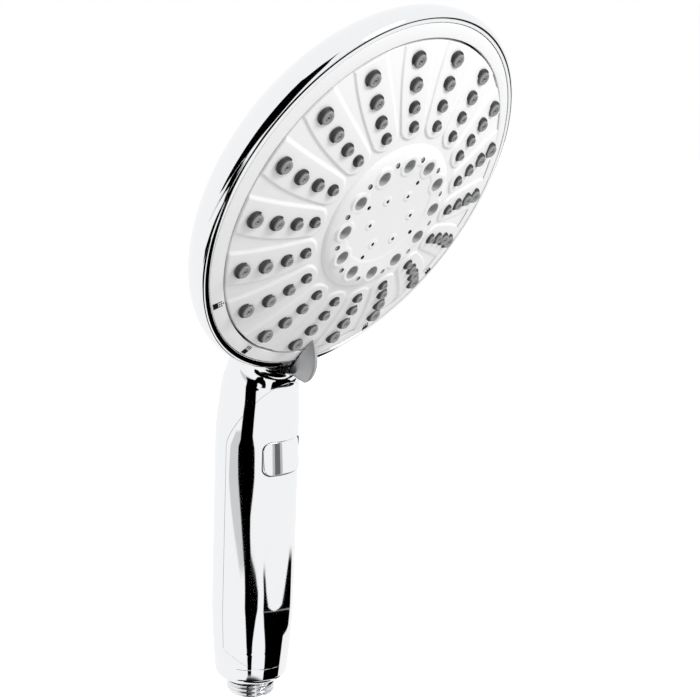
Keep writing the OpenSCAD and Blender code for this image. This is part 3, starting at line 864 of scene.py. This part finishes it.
def build_lever():
    """The lever's fin, lofted through its sections from the tip to the grip."""
    points = []
    for r, left, crest, right, ridge, foot in LEVER:
        rise = ridge - foot
        loop = [
            (left, foot), (left, foot + 0.03 * rise), (0.65 * left, foot + 0.36 * rise),
            (0.3 * left, foot + 0.7 * rise), (crest - 0.1, ridge - 0.02 * rise),
            (crest + 0.1, ridge), (0.5 * right, ridge - 0.05 * rise),
            (0.85 * right, ridge - 0.16 * rise), (right, ridge - 0.3 * rise),
            (right, foot + 0.2 * rise), (right, foot),
        ]
        points.extend([(x, -r, z) for x, z in loop])
    count = len(points) // len(LEVER)
    faces = close_ends(grid_faces(len(LEVER), count, closed=True), len(points), count)
    lever = make_piece(
        "lever_fin", from_face(np.array(points)), faces, "selector", "satin_silver",
        ("selector_lever",),
    )
    fix_normals(lever)
    smooth = lever.modifiers.new("smooth", "SUBSURF")
    smooth.levels = smooth.render_levels = 3


def ring_point(r, turn, lift=0.05):
    """A point just over the icon ring's sloping front, turn measured in degrees."""
    a = math.radians(turn)
    z = RING_TOP - RING_DROP * (r - RING_IN) / RING_SPAN + lift
    return r * math.cos(a), r * math.sin(a), z


# The lever's stops, in degrees round the face, and the radius at the middle of the signs.
STOPS = [-147.5 + 28.75 * i for i in range(5)]
SIGN_R = 71.5


def build_icons():
    """Plain spray signs: dashes or dots fanned about each of the lever's stops."""
    points, faces = [], []

    def dash(r0, r1, turn, width):
        """A bar from radius r0 to r1."""
        start = len(points)
        half = math.degrees(width / 2 / SIGN_R)
        for i in range(5):
            r = r0 + (r1 - r0) * i / 4
            points.append(ring_point(r, turn - half))
            points.append(ring_point(r, turn + half))
        for i in range(4):
            a = start + 2 * i
            faces.append((a, a + 2, a + 3, a + 1))

    def dot(r, turn, size):
        """A round spot, size being its radius."""
        start = len(points)
        for i in range(16):
            a = 2 * math.pi * i / 16
            step = math.degrees(size * math.sin(a) / r)
            points.append(ring_point(r + size * math.cos(a), turn + step))
        faces.append(tuple(range(start, start + 16)))

    for stop, centre in enumerate(STOPS):
        dash(71.9, 73.9, centre, 3.0)
        for i in (-1, 0, 1):
            if stop % 2:
                dash(69.8 + 0.3 * abs(i), 71.6, centre + 0.85 * i, 0.5)
            else:
                for j in range(3 - abs(i)):
                    dot(71.4 - 0.8 * j, centre + 0.9 * i, 0.34)
    make_piece(
        "spray_signs", from_face(np.array(points)), faces, "housing", "icon_print",
        ("icon_marks",),
    )


def button_front(x, z):
    """Depth of the button's face: dished across and proud towards its foot."""
    proud = HANDLE_R + 0.2 - 0.1 * (z - BUTTON_Z)
    dish = 0.4 * np.clip(1 - (x / 8.5) ** 2, 0, 1)
    return -np.sqrt(proud**2 - x**2) + dish


def build_button():
    """The button's cap, with a rounded edge and sides that reach into the handle."""
    loops = []
    edge = 0.35
    scales = np.concatenate([[0.02], np.linspace(0.08, 0.92, 12), [0.97, 0.985, 1.0]])
    outline = button_outline(edge)
    for k in scales:
        x, z = outline[:, 0] * k, outline[:, 1] * k + BUTTON_Z
        loops.append(np.stack([x, button_front(x, z), z], 1))
    for grow, drop in ((0.2, 0.08), (0.32, 0.25), (0.35, 0.6), (0.35, 4.2)):
        wide = button_outline(edge - grow)
        x, z = wide[:, 0], wide[:, 1] + BUTTON_Z
        loops.append(np.stack([x, button_front(x, z) + drop, z], 1))
    points = np.concatenate(loops)
    faces = grid_faces(len(loops), len(outline), closed=True, flip=True)
    faces.append(tuple(range(len(outline))))
    button = make_piece(
        "button_cap", points, faces, "button", "chrome_plate", ("pause_button",)
    )
    fix_normals(button)


def build_inlet():
    """The nipple's helical thread, its chamfered end face and the start of its bore."""
    columns = 120
    turn = np.arange(columns) * 2 * math.pi / columns
    rows = []

    def ring(r, z):
        """Adds a loop of radius r, or of one radius for each column."""
        rows.append(np.stack([r * np.cos(turn), r * np.sin(turn), np.full(columns, z)], 1))

    for r, z in ((6.98, 2.6), (6.98, 0.35), (7.2, 0.05), (9.0, 0.0), (9.25, 0.12)):
        ring(r, z)
    for z in np.linspace(0.2, HANDLE_BOTTOM, 90):
        phase = (z / THREAD_PITCH - turn / (2 * math.pi)) % 1
        ridge = smoothstep(0.1, 0.42, phase) - smoothstep(0.58, 0.9, phase)
        fade = smoothstep(0.0, 0.7, z) * (1 - smoothstep(5.0, 5.9, z))
        ring(THREAD_ROOT + (THREAD_R - THREAD_ROOT) * ridge * fade, z)
    for r, z in ((THREAD_ROOT, 6.35), (10.55, 6.5), (10.55, 9.0)):
        ring(r, z)
    points = np.concatenate(rows)
    faces = grid_faces(len(rows), columns, closed=True)
    nipple = make_piece(
        "threaded_inlet", points, faces, "housing", "chrome_plate", ("inlet_nipple",)
    )
    fix_normals(nipple)


def finish_cad_nodes():
    """Gives the CAD nodes that are shown as they are the materials of their slots."""
    slots = {s["node"]: s["material_slot"] for s in frame["record"]["subparts"]}
    for name, node in frame["nodes"].items():
        if not node.hide_render:
            node.data.materials.clear()
            node.data.materials.append(MATERIALS[slots[name]])


# ---- Studio ----

CAMERA_AIM = Vector((13.1, -37.4, 153.3)) * MM
CAMERA_TURN = math.radians(-49.49)
CAMERA_RISE = math.radians(12.69)
CAMERA_ROLL = math.radians(2.27)
CAMERA_REACH = 610.2 * MM
CAMERA_LENS = 78.92


def build_camera():
    """The camera at the photo's own angle and distance."""
    data = bpy.data.cameras.new("camera")
    data.lens = CAMERA_LENS
    data.sensor_width = 36
    data.clip_start, data.clip_end = 0.01, 20
    camera = bpy.data.objects.new("camera", data)
    bpy.context.scene.collection.objects.link(camera)
    back = Vector((
        math.sin(CAMERA_TURN) * math.cos(CAMERA_RISE),
        -math.cos(CAMERA_TURN) * math.cos(CAMERA_RISE),
        math.sin(CAMERA_RISE),
    ))
    camera.location = CAMERA_AIM + back * CAMERA_REACH
    facing = (-back).to_track_quat("-Z", "Y")
    camera.rotation_mode = "QUATERNION"
    camera.rotation_quaternion = facing @ Euler((0, 0, CAMERA_ROLL)).to_quaternion()
    bpy.context.scene.camera = camera


# Share of the white surroundings that lights matt surfaces.
AMBIENT = 0.78

# How far, in degrees, the surroundings are turned so that 0 is the camera's side.
PANEL_TURN = 139.5

# Dark panels, each a darkness and an outline. The outline's points are a height above the
# horizon and the panel's left and right sides there, turned from the camera, in degrees.
PANELS = [
    (1.0, [(-36, -6, 5), (-31, -12, 6), (-27, -15, 12), (-22.2, -18, 18), (-21.3, -19, 19),
        (-20.8, -23, -3), (-19.2, -34, -10), (-17.7, -46, 0), (-16.6, -49, -1), (-15, -42, -8),
        (-6.3, -37, -6)]),
    (0.33, [(-21, -34, -22), (-19.2, -60, -30), (-17.7, -76, -40), (-16.6, -74, -40),
        (-13, -56, -36)]),
    (1.0, [(-48, 30, 88), (-34, 47, 106), (-31, 45, 106), (-27.5, 38, 108), (-25.5, 36, 133),
        (-23.3, 34, 135)]),
    (1.0, [(-23.4, 34, 68), (-22.9, 34, 58), (-22.4, 34, 50), (-21.8, 34, 42), (-21, 30, 36)]),
    (1.0, [(-23.4, 68, 135), (-22.9, 80, 135), (-22.3, 92, 135), (-21.5, 104, 135),
        (-20.3, 120, 135)]),
    (1.0, [(-50, 92, 150), (-40.3, 92, 150)]),
    (1.0, [(-58, -50, 12), (-47, -50, 45), (-37.5, -30, 45), (-36, -6, 45)]),
    (1.0, [(-90, -50, 150), (-58, -30, 150)]),
    (1.0, [(-5.5, -55, 22), (-3, -72, 24), (15, -58, 25), (32, -52, 25), (49, -44, 25),
        (56, -38, 25)]),
    (0.45, [(-8.7, 55, 82), (-4, 55, 82)]),
    (0.85, [(-8.7, 61, 76), (-4, 61, 76)]),
]


def build_world():
    """White surroundings with dark panels that only reflections see."""
    world = bpy.data.worlds.new("studio")
    bpy.context.scene.world = world
    world.use_nodes = True
    tree = world.node_tree
    tree.nodes.clear()

    def math_node(operation, a, b=None, c=None):
        node = tree.nodes.new("ShaderNodeMath")
        node.operation = operation
        for socket, value in zip(node.inputs, (a, b, c)):
            if value is None:
                continue
            if isinstance(value, (int, float)):
                socket.default_value = value
            else:
                tree.links.new(value, socket)
        return node.outputs[0]

    def clamp(value):
        return math_node("MAXIMUM", math_node("MINIMUM", value, 1.0), 0.0)

    def step(value, low, high, soft):
        """1 between low and high, with edges as wide as soft."""
        rise = math_node("MULTIPLY_ADD", math_node("SUBTRACT", value, low), 1 / soft, 0.5)
        fall = math_node("MULTIPLY_ADD", math_node("SUBTRACT", high, value), 1 / soft, 0.5)
        return math_node("MULTIPLY", clamp(rise), clamp(fall))

    def edge(height, outline, column):
        """A panel's side: its turn at each height, straight between the outline's points."""
        ramp = tree.nodes.new("ShaderNodeValToRGB")
        stops = ramp.color_ramp.elements
        while len(stops) < len(outline):
            stops.new(0.5)
        for stop, point in zip(stops, sorted(outline)):
            stop.position = (point[0] + 90) / 180
            stop.color = [(point[column] + 180) / 360] * 3 + [1]
        tree.links.new(math_node("MULTIPLY_ADD", height, 1 / 180, 0.5), ramp.inputs[0])
        return math_node("MULTIPLY_ADD", ramp.outputs[0], 360.0, -180.0)

    where = tree.nodes.new("ShaderNodeTexCoord")
    split = tree.nodes.new("ShaderNodeSeparateXYZ")
    tree.links.new(where.outputs["Generated"], split.inputs[0])
    x, y, z = split.outputs
    turned = math_node("MULTIPLY", math_node("ARCTAN2", y, x), 180 / math.pi)
    turned = math_node("WRAP", math_node("ADD", turned, PANEL_TURN), 180.0, -180.0)
    height = math_node("MULTIPLY", math_node("ARCSINE", z), 180 / math.pi)

    dark = 0.0
    for depth, outline in PANELS:
        low, high = min(outline)[0], max(outline)[0]
        sides = [edge(height, outline, 1), edge(height, outline, 2)]
        panel = math_node("MULTIPLY", step(turned, *sides, 1.5), step(height, low, high, 0.5))
        dark = math_node("MAXIMUM", math_node("MULTIPLY", panel, depth), dark)
    light = tree.nodes.new("ShaderNodeLightPath")
    seen = math_node("MULTIPLY", dark, light.outputs["Is Glossy Ray"])
    dim = math_node("MULTIPLY", light.outputs["Is Diffuse Ray"], 1 - AMBIENT)
    level = math_node("SUBTRACT", math_node("SUBTRACT", 1.0, seen), dim)
    shade = tree.nodes.new("ShaderNodeBackground")
    tree.links.new(level, shade.inputs["Strength"])
    shade.inputs["Color"].default_value = (1, 1, 1, 1)
    out = tree.nodes.new("ShaderNodeOutputWorld")
    tree.links.new(shade.outputs[0], out.inputs["Surface"])


def build_floor():
    """A plain pale floor that lights nothing and isn't reflected."""
    size, level = 3.0, -0.06
    corners = [(-size, -size), (size, -size), (size, size), (-size, size)]
    mesh = bpy.data.meshes.new("floor")
    mesh.from_pydata([(x, y, level) for x, y in corners], [], [(0, 1, 2, 3)])
    floor = bpy.data.objects.new("floor", mesh)
    bpy.context.scene.collection.objects.link(floor)
    pale = Nodes("pale_floor", Roughness=0.8)
    pale.shader.inputs["Base Color"].default_value = (0.95, 0.95, 0.95, 1)
    pale.shader.inputs["Emission Color"].default_value = (1, 1, 1, 1)
    pale.shader.inputs["Emission Strength"].default_value = 0.8
    mesh.materials.append(pale.material)
    floor.visible_glossy = False
    floor.visible_diffuse = False


def build_key():
    """The soft key light, high on the camera's right."""
    data = bpy.data.lights.new("key", "AREA")
    data.shape = "DISK"
    data.size = 0.8
    data.energy = 26.0
    key = bpy.data.objects.new("key", data)
    bpy.context.scene.collection.objects.link(key)
    key.location = (0.49, -1.57, 1.35)
    key.rotation_mode = "QUATERNION"
    key.rotation_quaternion = (CAMERA_AIM - key.location).to_track_quat("-Z", "Y")


build_housing()
build_cover()
build_trim()
build_icon_ring()
build_face_plate()
build_nozzles()
build_disc()
build_jets()
build_lever()
build_icons()
build_button()
build_inlet()
finish_cad_nodes()

build_camera()
build_world()
build_floor()
build_key()
bpy.context.scene.view_settings.view_transform = "Standard"
